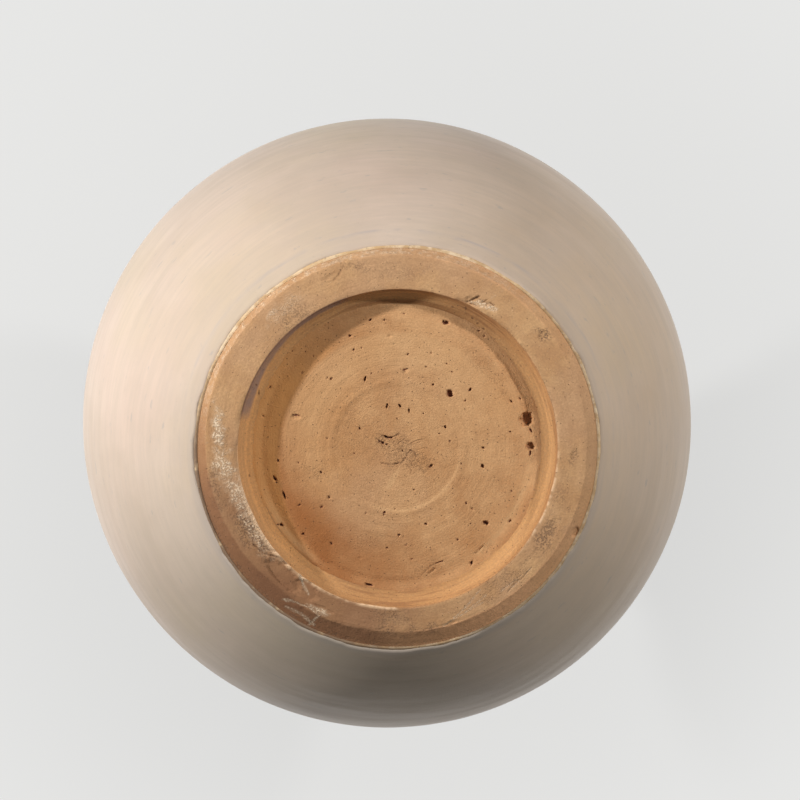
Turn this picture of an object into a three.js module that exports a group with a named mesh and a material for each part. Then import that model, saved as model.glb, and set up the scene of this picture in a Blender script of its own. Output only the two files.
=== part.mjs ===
// A globular stoneware jar: two thrown halves luted together at the belly, a turned foot ring
// with a knife-cut bevel and a hollow behind it, a short neck under a rolled lip, and a pale
// glaze over the outside that stops in a thin line of slip just above the bare foot.
// Millimetres, +Z up, origin at the centre of the face that the foot stands on.
import * as THREE from "three";

// Foot ring: its outer edge is cut to a bevel and its inner side is a cove.
const footRadius = 64.4;
const footHeight = 7;
const bevelWidth = 3.5;
const bevelHeight = 3.6;
const contactWidth = 9.5;
const coveWidth = 5;

// Base disc: the roof of the foot's hollow and the floor inside the jar.
const discThickness = 8;
const discSeat = 4.6;
const edgeGrooveWidth = 4.4;
const edgeGrooveDepth = 0.8;
const turnedRidgeRadius = 17;
const turnedRidgeWidth = 7;
const turnedRidgeHeight = 0.4;
const floorDimpleRadius = 16;
const floorDimpleDepth = 1.2;

// Body: the thrown halves, with the finger ridges that throwing leaves on the inside.
const bellyRadius = 106.2;
const bellyHeight = 99;
const shoulderHeight = 169.2;
const lowerTurn = THREE.MathUtils.degToRad(60);
const upperTurn = THREE.MathUtils.degToRad(79);
const wallAtFloor = 8.5;
const wallAtBelly = 6;
const wallAtCollar = 5.2;
const throwingRidge = 0.55;
const lowerThrowingRings = 4;
const upperThrowingRings = 4;

// Belly seam: soft clay between the scarfed edges of the halves, wiped to a ridge inside.
const seamThickness = 1.6;
const seamScarf = 2.4;
const seamRidgeReach = 4.5;
const seamRidgeHeight = 1.8;

// Neck: a short collar seated in the round opening of the shoulder, under the rolled lip.
const neckBore = 42;
const neckWall = 4.8;
const neckHeight = 11;
const neckDraft = 0.6;
const neckFillet = 5;
const boreRound = 2.2;
const lipHeight = 9;
const lipOverhang = 5.8;
const lipCurl = THREE.MathUtils.degToRad(68);

// Coats: a line of slip shows at the foot, and the glaze covers the wall, lip and upper bore.
// The gap keeps each coat a piece of its own.
const slipBandHeight = 0.7;
const slipThickness = 0.4;
const glazeThickness = 0.8;
const glazeReachInBore = 7;
const coatGap = 0.05;

// Fineness of the revolved surfaces.
const sidesAround = 48;
const lowerSteps = 6;
const upperSteps = 8;
const coveSteps = 4;
const turnedSteps = 4;
const filletSteps = 3;
const lipSteps = 8;

// Sizes that follow from the ones above.
const contactOuter = footRadius - bevelWidth;
const contactInner = contactOuter - contactWidth;
const coveFoot = contactInner - coveWidth;
const discRadius = contactInner + discSeat;
const floorHeight = footHeight + discThickness;
const neckRadius = neckBore + neckWall;
const collarRadius = neckRadius + neckFillet;
const collarSeat = shoulderHeight - wallAtCollar;
const lipBase = shoulderHeight + neckHeight;
const lowerReach = (bellyRadius - footRadius) / (1 - Math.cos(lowerTurn));
const lowerRise = (bellyHeight - bevelHeight) / Math.sin(lowerTurn);
const upperReach = (bellyRadius - collarRadius) / (1 - Math.cos(upperTurn));
const upperRise = (shoulderHeight - bellyHeight) / Math.sin(upperTurn);

const at = (radius, height) => new THREE.Vector2(radius, height);

// A point of the body's wall. Turn is 0 at the belly, below zero towards the foot and above
// zero towards the neck. Out is how far the point stands outside the clay, square to the wall.
function wallPoint(turn, out) {
  const reach = turn < 0 ? lowerReach : upperReach;
  const rise = turn < 0 ? lowerRise : upperRise;
  const radius = bellyRadius - reach * (1 - Math.cos(turn));
  const height = bellyHeight + rise * Math.sin(turn);
  const outward = at(rise * Math.cos(turn), reach * Math.sin(turn)).normalize();
  return at(radius, height).addScaledVector(outward, out);
}

// The turn at which the outside of the clay passes a height.
function turnAtHeight(height) {
  const rise = height < bellyHeight ? lowerRise : upperRise;
  return Math.asin((height - bellyHeight) / rise);
}

// Equal steps from one value to another, both ends included.
function evenly(from, to, steps) {
  return Array.from({ length: steps + 1 }, (_, i) => from + ((to - from) * i) / steps);
}

// Part of an ellipse about a point of the outline, between two angles.
function arc(middle, halfWidth, halfHeight, from, to, steps) {
  const curve = new THREE.EllipseCurve(
    middle.x, middle.y, halfWidth, halfHeight, from, to, to < from);
  return curve.getPoints(steps);
}

// The clay as seen from outside, in four runs. Each is a line that stands out by a distance.
const glazeTurn = turnAtHeight(bevelHeight + slipBandHeight);
const ringTopTurn = turnAtHeight(footHeight);
const seamLowTurn = turnAtHeight(bellyHeight - seamThickness / 2);
const seamHighTurn = turnAtHeight(bellyHeight + seamThickness / 2);

function lowerFlank(out) {
  return evenly(ringTopTurn, seamLowTurn, lowerSteps).map((turn) => wallPoint(turn, out));
}

function upperFlank(out) {
  return evenly(seamHighTurn, upperTurn, upperSteps).map((turn) => wallPoint(turn, out));
}

function neckFlank(out) {
  const middle = at(collarRadius, shoulderHeight + neckFillet);
  const radius = neckFillet - out;
  return [
    ...arc(middle, radius, radius, 1.5 * Math.PI, Math.PI, filletSteps),
    at(neckRadius + neckDraft + out, lipBase - out),
  ];
}

function lipFlank(out) {
  const halfWidth = (neckWall + lipOverhang) / 2;
  const halfHeight = lipHeight / 2;
  const middle = at(neckBore + halfWidth, lipBase + halfHeight);
  return arc(middle, halfWidth + out, halfHeight + out, -lipCurl, Math.PI, lipSteps);
}

// The inside of a thrown wall between two turns. Its thickness goes evenly from one value to
// the other, and every second point stands proud, which leaves low rings.
function thrownInside(fromTurn, toTurn, fromWall, toWall, rings) {
  const walls = evenly(fromWall, toWall, rings * 2);
  return evenly(fromTurn, toTurn, rings * 2).map((turn, i) => {
    const ridge = i % 2 === 1 ? throwingRidge : 0;
    return wallPoint(turn, -walls[i] - ridge);
  });
}

// The corners of the belly seam, which both halves share.
const seamOuterLow = wallPoint(seamLowTurn, 0);
const seamOuterHigh = wallPoint(seamHighTurn, 0);
const seamInnerLow = wallPoint(turnAtHeight(seamOuterLow.y + seamScarf), -wallAtBelly);
const seamInnerHigh = wallPoint(turnAtHeight(seamOuterHigh.y + seamScarf), -wallAtBelly);
const ridgeLowTurn = turnAtHeight(seamInnerLow.y - seamRidgeReach);
const ridgeHighTurn = turnAtHeight(seamInnerHigh.y + seamRidgeReach);

function footRing() {
  return [
    ...arc(at(coveFoot, 0), coveWidth, footHeight, Math.PI / 2, 0, coveSteps),
    at(contactOuter, 0),
    ...[-lowerTurn, glazeTurn, ringTopTurn].map((turn) => wallPoint(turn, 0)),
  ];
}

function baseDisc() {
  const ridge = at(turnedRidgeRadius, footHeight);
  const groove = at(coveFoot - edgeGrooveWidth / 2, footHeight);
  return [
    at(0, footHeight),
    ...arc(ridge, turnedRidgeWidth / 2, turnedRidgeHeight, Math.PI, 2 * Math.PI, turnedSteps),
    ...arc(groove, edgeGrooveWidth / 2, edgeGrooveDepth, Math.PI, 0, turnedSteps),
    at(discRadius, footHeight),
    at(discRadius, floorHeight),
    at(floorDimpleRadius, floorHeight),
    at(0, floorHeight - floorDimpleDepth),
  ];
}

function lowerBody() {
  const floorTurn = turnAtHeight(floorHeight);
  return [
    at(discRadius, footHeight),
    ...lowerFlank(0),
    seamInnerLow,
    ...thrownInside(ridgeLowTurn, floorTurn, wallAtBelly, wallAtFloor, lowerThrowingRings),
    at(discRadius, floorHeight),
  ];
}

function bellySeam() {
  return [
    seamOuterLow,
    seamOuterHigh,
    seamInnerHigh,
    wallPoint(ridgeHighTurn, -wallAtBelly),
    at(seamInnerHigh.x - seamRidgeHeight, seamInnerHigh.y),
    at(seamInnerLow.x - seamRidgeHeight, seamInnerLow.y),
    wallPoint(ridgeLowTurn, -wallAtBelly),
    seamInnerLow,
  ];
}

// The inside starts one step below the neck's seat, whose own corner takes the first place.
function upperBody() {
  const inside = thrownInside(
    upperTurn, ridgeHighTurn, wallAtCollar, wallAtBelly, upperThrowingRings);
  return [...upperFlank(0), at(collarRadius, collarSeat), ...inside.slice(1), seamInnerHigh];
}

function neck() {
  return [
    at(collarRadius, collarSeat),
    ...neckFlank(0),
    at(neckBore, lipBase),
    at(neckBore, collarSeat + boreRound),
    at(neckBore + boreRound, collarSeat),
  ];
}

function lip() {
  return [at(neckRadius + neckDraft, lipBase), ...lipFlank(0), at(neckBore, lipBase)];
}

function slipLine() {
  const outer = coatGap + slipThickness;
  return [
    wallPoint(-lowerTurn, outer),
    wallPoint(glazeTurn, outer),
    wallPoint(glazeTurn, coatGap),
    wallPoint(-lowerTurn, coatGap),
  ];
}

// The glaze thins to the slip at its edge and runs over the lip a little way into the bore.
function outerGlaze() {
  const covered = (out) => [
    ...lowerFlank(out),
    ...upperFlank(out),
    ...neckFlank(out),
    ...lipFlank(out),
    at(neckBore - out, lipBase - glazeReachInBore),
  ];
  return [
    wallPoint(glazeTurn, coatGap + slipThickness),
    ...covered(coatGap + glazeThickness),
    ...covered(coatGap).reverse(),
    wallPoint(glazeTurn, coatGap),
  ];
}

const bareClay = new THREE.MeshStandardMaterial({ color: 0xc79e76, roughness: 0.92 });
const floorClay = new THREE.MeshStandardMaterial({ color: 0xc69763, roughness: 0.9 });
const thrownClay = new THREE.MeshStandardMaterial({ color: 0xb98f68, roughness: 0.9 });
const paleSlip = new THREE.MeshStandardMaterial({ color: 0xe2cfaa, roughness: 0.8 });
const creamGlaze = new THREE.MeshStandardMaterial({ color: 0xd9ccb9, roughness: 0.32 });

const jar = new THREE.Group();
jar.rotation.x = Math.PI / 2;

// Revolves an outline about the jar's axis. The outline starts and ends on the axis, or is
// closed here by its own first point.
function revolve(name, outline, material) {
  const onAxis = outline[0].x === 0;
  const profile = onAxis ? outline : [...outline, outline[0].clone()];
  const mesh = new THREE.Mesh(new THREE.LatheGeometry(profile, sidesAround), material);
  mesh.name = name;
  jar.add(mesh);
}

revolve("foot_ring", footRing(), bareClay);
revolve("base_disc", baseDisc(), floorClay);
revolve("lower_body", lowerBody(), thrownClay);
revolve("belly_seam", bellySeam(), thrownClay);
revolve("upper_body", upperBody(), thrownClay);
revolve("neck", neck(), thrownClay);
revolve("lip", lip(), thrownClay);
revolve("slip_line", slipLine(), paleSlip);
revolve("outer_glaze", outerGlaze(), creamGlaze);

export default jar;
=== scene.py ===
# %% [markdown]
# # A globular stoneware jar, seen from its foot
# The photo shows the jar from under its bare turned foot: a broad ring of buff clay, a hollow
# with a pitted floor, a line of pale slip, and then cream glaze over the whole outside.
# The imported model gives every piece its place. This lesson makes a finer piece for each solid,
# wears and pits it as the real one is worn, and gives each finish its own material.

# %% Load the frame
import itertools
from math import asin, cos, exp, hypot, pi, radians, sin, tau

import bmesh
import bpy
import numpy as np
from mathutils import Matrix, Vector


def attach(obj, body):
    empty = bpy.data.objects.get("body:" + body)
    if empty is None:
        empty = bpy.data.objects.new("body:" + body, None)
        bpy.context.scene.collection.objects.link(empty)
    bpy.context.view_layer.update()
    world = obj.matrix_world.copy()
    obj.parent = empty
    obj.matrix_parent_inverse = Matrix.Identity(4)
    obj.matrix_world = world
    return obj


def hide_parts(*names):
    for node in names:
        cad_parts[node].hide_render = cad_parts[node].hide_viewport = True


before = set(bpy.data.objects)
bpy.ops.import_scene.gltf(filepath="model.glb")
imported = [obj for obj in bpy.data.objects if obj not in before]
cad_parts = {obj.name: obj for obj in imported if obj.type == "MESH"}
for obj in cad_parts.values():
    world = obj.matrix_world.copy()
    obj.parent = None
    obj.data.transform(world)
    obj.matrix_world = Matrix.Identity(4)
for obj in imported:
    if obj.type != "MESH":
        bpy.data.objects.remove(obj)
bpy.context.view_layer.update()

print("solids:", ", ".join(sorted(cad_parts)))

# %% [markdown]
# ## The sizes of the jar
# A thrown jar is drawn by one outline turned about its axis. The solids were made from the sizes
# below, so the finer pieces are made from the same ones, in millimetres. Blender works in
# metres, so each mesh is scaled once, when its outline is turned.

# %% Sizes, in millimetres
MM = 0.001
FOOT_RADIUS, FOOT_HEIGHT, BEVEL_HEIGHT = 64.4, 7.0, 3.6
CONTACT_OUTER, CONTACT_INNER, COVE_FOOT = 60.9, 51.4, 46.4
DISC_RADIUS, FLOOR_HEIGHT = 56.0, 15.0
BELLY_RADIUS, BELLY_HEIGHT, SHOULDER_HEIGHT = 106.2, 99.0, 169.2
LOWER_TURN, UPPER_TURN = radians(60), radians(79)
WALL_AT_FLOOR, WALL_AT_BELLY, WALL_AT_COLLAR = 8.5, 6.0, 5.2
SEAM_HALF, SEAM_SCARF, SEAM_REACH = 0.8, 2.4, 4.5
NECK_BORE, NECK_RADIUS, COLLAR_RADIUS, COLLAR_SEAT = 42.0, 46.8, 51.8, 164.0
NECK_DRAFT, NECK_FILLET, BORE_ROUND = 0.6, 5.0, 2.2
LIP_BASE, LIP_HALF_WIDTH, LIP_HALF_HEIGHT, LIP_CURL = 180.2, 5.3, 4.5, radians(68)
SLIP_TOP, COAT_GAP, SLIP, GLAZE, GLAZE_IN_BORE = 4.3, 0.05, 0.4, 0.8, 7.0

# %% [markdown]
# ## The curve of the wall
# The wall is part of one ellipse below the belly and part of another above it. A point on it is
# given by its turn: 0 at the belly, below zero towards the foot. Standing a point out square to
# the wall gives every coat the same curve as the clay under it.

# %% The wall's curve
LOWER_REACH = (BELLY_RADIUS - FOOT_RADIUS) / (1 - cos(LOWER_TURN))
LOWER_RISE = (BELLY_HEIGHT - BEVEL_HEIGHT) / sin(LOWER_TURN)
UPPER_REACH = (BELLY_RADIUS - COLLAR_RADIUS) / (1 - cos(UPPER_TURN))
UPPER_RISE = (SHOULDER_HEIGHT - BELLY_HEIGHT) / sin(UPPER_TURN)


def wall_point(turn, out=0.0):
    reach, rise = (LOWER_REACH, LOWER_RISE) if turn < 0 else (UPPER_REACH, UPPER_RISE)
    outward = Vector((rise * cos(turn), reach * sin(turn))).normalized()
    radius = BELLY_RADIUS - reach * (1 - cos(turn))
    height = BELLY_HEIGHT + rise * sin(turn)
    return (radius + outward.x * out, height + outward.y * out)


def turn_at(height):
    rise = LOWER_RISE if height < BELLY_HEIGHT else UPPER_RISE
    return asin((height - BELLY_HEIGHT) / rise)


def steps(start, end, count):
    return [start + (end - start) * i / count for i in range(count + 1)]


def arc(middle, half_width, half_height, start, end, count):
    return [(middle[0] + half_width * cos(a), middle[1] + half_height * sin(a))
            for a in steps(start, end, count)]


print("belly, mm:", [round(v, 2) for v in wall_point(0.0)])

# %% [markdown]
# ## Helpers for node trees
# Shader trees and geometry trees are built in the same way: make a node, set what it does, and
# feed its sockets with numbers or with other nodes' outputs. A few small helpers keep each tree
# short enough to read. They add to the tree in hand: that of the group, material or world
# started last. A group's socket gets its kind from its default value, or is named by it.

# %% Node helpers


def feed(made, values):
    for key, value in values.items():
        if isinstance(value, bpy.types.NodeSocket):
            tree.links.new(value, made.inputs[key])
        else:
            made.inputs[key].default_value = value


def node(kind, values=None, out=0, **settings):
    made = tree.nodes.new(kind)
    for name, value in settings.items():
        setattr(made, name, value)
    feed(made, values or {})
    return made.outputs[out]


def calc(operation, *values):
    return node("ShaderNodeMath", dict(enumerate(values)), operation=operation)


def times(first, second):
    return calc("MULTIPLY", first, second)


def plus(first, second):
    return calc("ADD", first, second)


def minus(first, second):
    return calc("SUBTRACT", first, second)


def vector(operation, *values, out=0):
    return node("ShaderNodeVectorMath", dict(enumerate(values)), out, operation=operation)


def combine(x=0.0, y=0.0, z=0.0):
    return node("ShaderNodeCombineXYZ", {0: x, 1: y, 2: z})


def separate(value):
    return node("ShaderNodeSeparateXYZ", {0: value}).node.outputs


def ramp(value, start, end, low_out=0.0, high_out=1.0):
    return node("ShaderNodeMapRange", {0: value, 1: start, 2: end, 3: low_out, 4: high_out},
                interpolation_type="SMOOTHSTEP")


def noise(where, scale, detail, roughness=0.5, fourth=None):
    values = {"Vector": where, "Scale": scale, "Detail": detail, "Roughness": roughness}
    if fourth is None:
        return node("ShaderNodeTexNoise", values)
    return node("ShaderNodeTexNoise", {**values, "W": fourth}, noise_dimensions="4D")


def new_group(name, kind, inputs, outputs):
    global tree
    tree = bpy.data.node_groups.new(name, kind)
    for way, sockets in (("INPUT", inputs), ("OUTPUT", outputs)):
        for label, value in sockets.items():
            sort = value if isinstance(value, str) else type(value).__name__.capitalize()
            made = tree.interface.new_socket(label, in_out=way, socket_type="NodeSocket" + sort)
            if sort != value:
                made.default_value = value
    return tree, tree.nodes.new("NodeGroupInput").outputs


def end_group(values):
    feed(tree.nodes.new("NodeGroupOutput"), values)
    print(f"{tree.name}: {len(tree.nodes)} nodes")


def end_shape(clay):
    real = node("GeometryNodeRealizeInstances", {"Geometry": clay})
    finished = node("GeometryNodeSetMaterial", {"Geometry": real, "Material": give["Finish"]})
    end_group({"Clay": finished})


# %% [markdown]
# ## The turned form
# A potter's wheel turns one outline into a whole wall, and so does this tree. It lays out a grid
# with a column for each step round the axis and a row for each point of the outline, looks up
# its outline point by row, and wraps the grid round. A Screw or Spin would do that too, but here
# the slight out-of-round of hand throwing comes with it: every piece reads the same noise at the
# same place, so coats and clay move together and never cut through each other.

# %% Geometry Nodes: the turned form
turned, give = new_group(
    "turned form", "GeometryNodeTree",
    {"Outline": "Geometry", "Steps Around": 360, "Out of Round": 0.003, "Seed": 3.0,
     "Finish": "Material"}, {"Clay": "Geometry"})
rows = node("GeometryNodeAttributeDomainSize", {0: give["Outline"]}, component="MESH")
grid = node("GeometryNodeMeshGrid",
            {"Vertices X": plus(give["Steps Around"], 1.0), "Vertices Y": rows})
index = node("GeometryNodeInputIndex")
column = calc("FLOOR", calc("DIVIDE", plus(index, 0.5), rows))
row = calc("ROUND", minus(index, times(column, rows)))
along = separate(node(
    "GeometryNodeSampleIndex",
    {0: give["Outline"], 1: node("GeometryNodeInputPosition"), 2: row},
    data_type="FLOAT_VECTOR", domain="POINT"))
angle = times(calc("DIVIDE", column, give["Steps Around"]), tau)
east, north = calc("COSINE", angle), calc("SINE", angle)
where = combine(plus(east, give["Seed"]), north, times(along["Z"], 9.0))
uneven = times(noise(where, 1.1, 2.0), give["Out of Round"])
radius = times(along["X"], minus(1.0, uneven))
wrapped = combine(times(radius, east), times(radius, north), along["Z"])
placed = node("GeometryNodeSetPosition", {"Geometry": grid, "Position": wrapped})
closed = node("GeometryNodeMergeByDistance", {"Geometry": placed, "Distance": 2e-6})
end_shape(closed)

# %% [markdown]
# ## Pits and pores
# The clay was coarse: bits of grit tore out when the foot was turned, and left pits with dark
# bottoms. They lie anywhere on the floor, so they are points: a few large ones at places of
# their own, and many pores scattered by a fixed seed. Every point of the floor looks for its
# nearest pit and sinks by how deep it lies inside that pit's ragged oval.

# %% Geometry Nodes: where the pits and pores are
pitted, give = new_group(
    "pitted clay", "GeometryNodeTree",
    {"Clay": "Geometry", "Pits": "Object", "Pores per Square Metre": 60000.0,
     "Pore Size": 0.0004, "Raggedness": 0.75, "Seed": 11, "Finish": "Material"},
    {"Clay": "Geometry"})
FACES_DOWN, UNDER_FLOOR = -0.3, 0.0085
here = node("GeometryNodeInputPosition")
down = separate(node("GeometryNodeInputNormal"))["Z"]
under = times(calc("LESS_THAN", down, FACES_DOWN),
              calc("LESS_THAN", separate(here)["Z"], UNDER_FLOOR))
pores = node("GeometryNodeDistributePointsOnFaces",
             {"Mesh": give["Clay"], "Selection": under, "Density": give["Pores per Square Metre"],
              "Seed": give["Seed"]}, distribute_method="RANDOM")
chance = node("FunctionNodeRandomValue", {2: 0.0, 3: 1.0, "Seed": give["Seed"]}, out=1,
              data_type="FLOAT")
size = times(ramp(calc("POWER", chance, 3.0), 0.0, 1.0, 0.8, 1.5), give["Pore Size"])
for label, value in (("half_length", times(size, 1.4)), ("half_width", size),
                     ("slant", times(chance, 40.0)), ("sink", times(size, 1.7))):
    pores = node("GeometryNodeStoreNamedAttribute",
                 {"Geometry": pores, "Name": label, "Value": value},
                 data_type="FLOAT", domain="POINT")
all_pits = node("GeometryNodeJoinGeometry")
for source in (node("GeometryNodePointsToVertices", {0: pores}),
               node("GeometryNodeObjectInfo", {"Object": give["Pits"]}, out="Geometry")):
    feed(all_pits.node, {0: source})
nearest = node("GeometryNodeSampleNearest", {0: all_pits}, domain="POINT")


def of_nearest(value, data_type="FLOAT"):
    return node("GeometryNodeSampleIndex", {0: all_pits, 1: value, 2: nearest},
                data_type=data_type, domain="POINT")


def stored(label):
    return of_nearest(node("GeometryNodeInputNamedAttribute", {"Name": label}, data_type="FLOAT"))


# %% Geometry Nodes: how far the clay sinks
offset = vector("SUBTRACT", here, of_nearest(here, "FLOAT_VECTOR"))
level = separate(node(
    "ShaderNodeVectorRotate",
    {"Vector": offset, "Angle": times(stored("slant"), -1.0)}, rotation_type="Z_AXIS"))
along = calc("DIVIDE", level["X"], stored("half_length"))
across = calc("DIVIDE", level["Y"], stored("half_width"))
squares = plus(times(along, along), times(across, across))
oval = calc("SQRT", squares)
ragged = minus(noise(here, 1100.0, 2.0), 0.5)
inside = plus(oval, times(ragged, give["Raggedness"]))
pit = times(ramp(inside, 1.05, 0.55), under)
steep = ramp(calc("DIVIDE", stored("sink"), stored("half_width")), 0.6, 1.5)
sunk = node("GeometryNodeStoreNamedAttribute",
            {"Geometry": give["Clay"], "Name": "pit", "Value": times(pit, steep)},
            data_type="FLOAT", domain="POINT")
drop = combine(z=times(pit, stored("sink")))
sunk = node("GeometryNodeSetPosition", {"Geometry": sunk, "Offset": drop})
end_shape(sunk)

# %% [markdown]
# ## From an outline to a piece
# An outline becomes a line mesh, the tree turns it, and the evaluated result is kept as a plain
# mesh, with its normals made to point out of the closed shell. Every piece rides on the jar's
# only body, stands for its solid and names the material slot it takes its finish from.

# %% Making a piece
OUT_OF_ROUND, THROWING_SEED, SHARP_EDGE = 0.0028, 3.0, radians(50)


def add_object(name, data):
    made = bpy.data.objects.new(name, data)
    bpy.context.collection.objects.link(made)
    return made


def run_tree(piece, group, values):
    modifier = piece.modifiers.new("shape", "NODES")
    modifier.node_group = group
    names = {i.name: i.identifier for i in group.interface.items_tree if i.in_out == "INPUT"}
    for label, value in values.items():
        modifier[names[label]] = value
    graph = bpy.context.evaluated_depsgraph_get()
    mesh = bpy.data.meshes.new_from_object(
        piece.evaluated_get(graph), preserve_all_data_layers=True, depsgraph=graph)
    piece.modifiers.clear()
    piece.data = mesh
    mesh.name = piece.name


def turn_piece(name, outline, columns, finish):
    line = bpy.data.meshes.new(name)
    line.from_pydata([(r * MM, 0.0, z * MM) for r, z in outline],
                     [(i, i + 1) for i in range(len(outline) - 1)], [])
    piece = add_object(name, line)
    run_tree(piece, turned, {"Steps Around": columns, "Out of Round": OUT_OF_ROUND,
                             "Seed": THROWING_SEED, "Finish": finish})
    return piece


def points_of(piece):
    flat = np.zeros(len(piece.data.vertices) * 3)
    piece.data.vertices.foreach_get("co", flat)
    return flat.reshape(-1, 3) / MM


def move_points(piece, points):
    piece.data.vertices.foreach_set("co", (points * MM).ravel())
    piece.data.update()


def store(piece, label, values):
    made = piece.data.attributes.new(label, "FLOAT", "POINT")
    made.data.foreach_set("value", np.clip(values, 0.0, 1.0).astype(np.float32))


def hand_over(piece, cad_node):
    shell = bmesh.new()
    shell.from_mesh(piece.data)
    bmesh.ops.recalc_face_normals(shell, faces=shell.faces)
    if shell.calc_volume(signed=True) < 0:
        bmesh.ops.reverse_faces(shell, faces=shell.faces)
    shell.to_mesh(piece.data)
    open_edges = sum(1 for e in shell.edges if not e.is_manifold)
    shell.free()
    piece.data.shade_smooth()
    piece.data.set_sharp_from_angle(angle=SHARP_EDGE)
    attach(piece, "root")
    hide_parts(cad_node)
    piece.data.calc_loop_triangles()
    print(f"{piece.name}: {len(piece.data.loop_triangles)} triangles, {open_edges} open edges")


# %% [markdown]
# ## Noise for the hand-worn places
# Chips, dirt and abrasion are not even ovals. A small noise on a lattice, added up at halving
# sizes, frays their edges. It is written with plain arithmetic, so it gives the same result on
# every run.

# %% Lattice noise
PRIMES = (73856093, 19349663, 83492791, 2654435761)
MIXERS = ((13, 1274126177), (16, 2246822519))
LARGEST = 0x7FFFFFFF


def lattice(points, size, seed):
    spots = points / size
    cell = np.floor(spots).astype(np.int64)
    part = spots - cell
    part = part * part * (3 - 2 * part)
    total = np.zeros(len(points))
    for corner in itertools.product((0, 1), repeat=3):
        c = cell + corner
        mixed = seed * PRIMES[3]
        for column, prime in zip(c.T, PRIMES):
            mixed = mixed ^ (column * prime)
        for shift, factor in MIXERS:
            mixed = (mixed ^ (mixed >> shift)) * factor & LARGEST
        total += np.prod(np.where(corner, part, 1 - part), axis=1) * (mixed / LARGEST)
    return total


def crumbly(points, size, seed, octaves=3):
    shares = [1 / 2 ** k for k in range(octaves)]
    return sum(share * lattice(points, size * share, seed + k)
               for k, share in enumerate(shares)) / sum(shares)


print("noise check:", round(float(lattice(np.array([[1.5, 2.5, 3.5]]), 1.0, 7)[0]), 4))

# %% [markdown]
# A worn place is then one of four things: an oval patch with frayed edges, a scored line, a ring
# at some distance from the axis, or a change of strength round the foot, given by a table of
# angles. As the foot is seen in the photo, an angle of 0 is at the right, 90 at the bottom, 180
# at the left and -90 at the top.

# %% Worn places


def smooth(value, start, end):
    share = np.clip((value - start) / (end - start), 0.0, 1.0)
    return share * share * (3 - 2 * share)


def between(value, start, full, fall, gone):
    return smooth(value, start, full) * (1 - smooth(value, fall, gone))


def hill(value, top, width):
    return np.exp(-((value - top) / width) ** 2)


def around(angles, knots):
    degrees, values = zip(*knots)
    return np.interp(np.degrees(angles), degrees, values, period=360)


def patch(points, x, y, length, width, slant, fray, grain, seed, core=0.7):
    a = radians(slant)
    u = (points[:, 0] - x) * cos(a) + (points[:, 1] - y) * sin(a)
    v = (points[:, 1] - y) * cos(a) - (points[:, 0] - x) * sin(a)
    oval = np.hypot(u / length, v / width) + fray * (crumbly(points, grain, seed) - 0.5) * 2
    return 1 - smooth(oval, core, 1.1)


def patches(points, table, fray, grain, seed, core=0.7):
    """The strongest of many patches; a row is x, y, half length, half width, slant, strength."""
    most = np.zeros(len(points))
    for k, (*oval, strength) in enumerate(table):
        most = np.maximum(most, strength * patch(points, *oval, fray, grain, seed + k, core))
    return most


def near_line(points, corners):
    best = np.full(len(points), 1e9)
    flat = points[:, :2]
    for a, b in zip(corners, corners[1:]):
        a, b = np.array(a), np.array(b)
        share = np.clip((flat - a) @ (b - a) / ((b - a) @ (b - a)), 0, 1)
        best = np.minimum(best, np.hypot(*(flat - a - share[:, None] * (b - a)).T))
    return best


def scored(points, table, wander, blur):
    """Scored lines; a row is corners, half width, depth, how dark and, if any, how bright."""
    cut, dark, bright = np.zeros((3, len(points)))
    for corners, wide, deep, *tones in table:
        line = 1 - smooth(near_line(points, corners) + wander, wide * 0.6, wide * 2.0 + blur)
        cut += deep * line
        for total, tone in zip((dark, bright), tones):
            np.maximum(total, tone * line, out=total)
    return cut, dark, bright


# %% [markdown]
# ## Shared effects
# Three effects come back in several finishes, so each is a node group. Turning streaks follow
# the wheel: noise that is read on a circle round the axis and finely across it. Clay grain gives
# slow changes of tone, sand grains and pores. Clouds give soft patches where a glaze or a clay
# took the fire differently.

# %% Shader group: turning streaks
streaks, give = new_group(
    "turning streaks", "ShaderNodeTree",
    {"Position": "Vector", "Across": 900.0, "Around": 3.0, "Detail": 4.0, "Seed": 0.0},
    {"Streak": "Float"})
axes = separate(give["Position"])
flat = combine(axes["X"], axes["Y"])
radius = vector("LENGTH", flat, out=1)
circle = node("ShaderNodeVectorMath",
              {0: vector("NORMALIZE", flat), "Scale": give["Around"]}, operation="SCALE")
lift = plus(times(axes["Z"], give["Across"]), give["Seed"])
circle = vector("ADD", circle, combine(z=lift))
across = times(radius, give["Across"])
end_group({"Streak": noise(circle, 1.0, give["Detail"], 0.6, across)})

# %% Shader group: clay grain
grain, give = new_group(
    "clay grain", "ShaderNodeTree",
    {"Position": "Vector", "Tone Size": 90.0, "Grain Size": 1500.0, "Sand": 0.2, "Pores": 0.16},
    {"Tone": "Float", "Grain": "Float", "Sand": "Float", "Pores": "Float", "Height": "Float"})
tone = noise(give["Position"], give["Tone Size"], 6.0, 0.62)
fine = noise(give["Position"], give["Grain Size"], 3.0, 0.7)


def scattered(size, reach, kept):
    cells = node("ShaderNodeTexVoronoi", {"Vector": give["Position"], "Scale": size})
    luck = node("ShaderNodeSeparateColor", {0: cells.node.outputs["Color"]})
    return times(ramp(cells, reach, times(reach, 0.5)), calc("GREATER_THAN", luck, kept))


sand, pore = scattered(1150.0, give["Sand"], 0.72), scattered(820.0, give["Pores"], 0.62)
lumps = plus(times(fine, 0.6), times(sand, 0.35))
lumps = minus(lumps, times(pore, 1.4))
end_group({"Tone": tone, "Grain": fine, "Sand": sand, "Pores": pore, "Height": lumps})

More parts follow.
